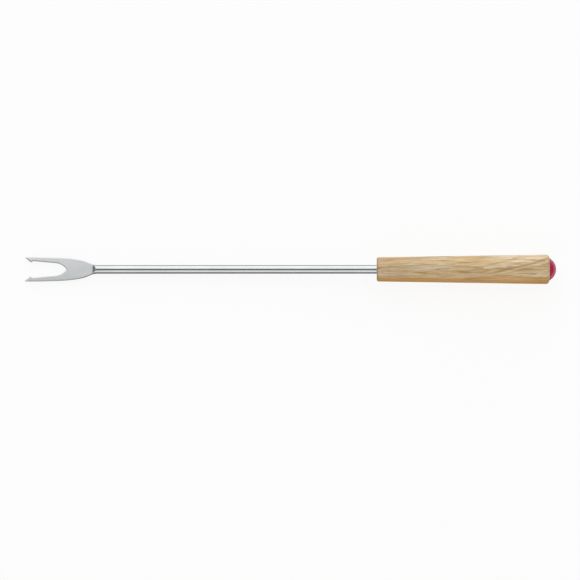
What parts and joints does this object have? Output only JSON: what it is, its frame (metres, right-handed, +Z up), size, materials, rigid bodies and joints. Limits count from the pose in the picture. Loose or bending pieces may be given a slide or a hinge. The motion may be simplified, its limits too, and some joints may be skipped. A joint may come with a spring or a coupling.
{
  "type": "roasting fork",
  "caption": "Slim hand-held roasting fork: forged two-tine head on a round steel rod, turned wooden handle and a coloured domed end cap.",
  "frame": {"origin": "centre of the fork's length and width, on the surface that it lies on", "axes": "+X along the fork from the tine tips to the end cap, seen from above; +Y across the fork in the plane of the tines; +Z up. The fork lies at rest on the neck of its head and the front rim of its handle, so its own axis rises 1.56 degrees towards +X"},
  "size_m": [0.25, 0.0138, 0.0147],
  "materials": {
    "polished_steel": "polished stainless steel",
    "handle_wood": "turned pale open-grained hardwood, sealed satin",
    "cap_plastic": "glossy crimson",
    "adhesive": "cured epoxy"
  },
  "bodies": {
    "root": {"steel_fork": "polished_steel", "wooden_handle": "handle_wood", "end_cap": "cap_plastic", "tang_adhesive": "adhesive", "cap_adhesive": "adhesive"}
  },
  "joints": []
}
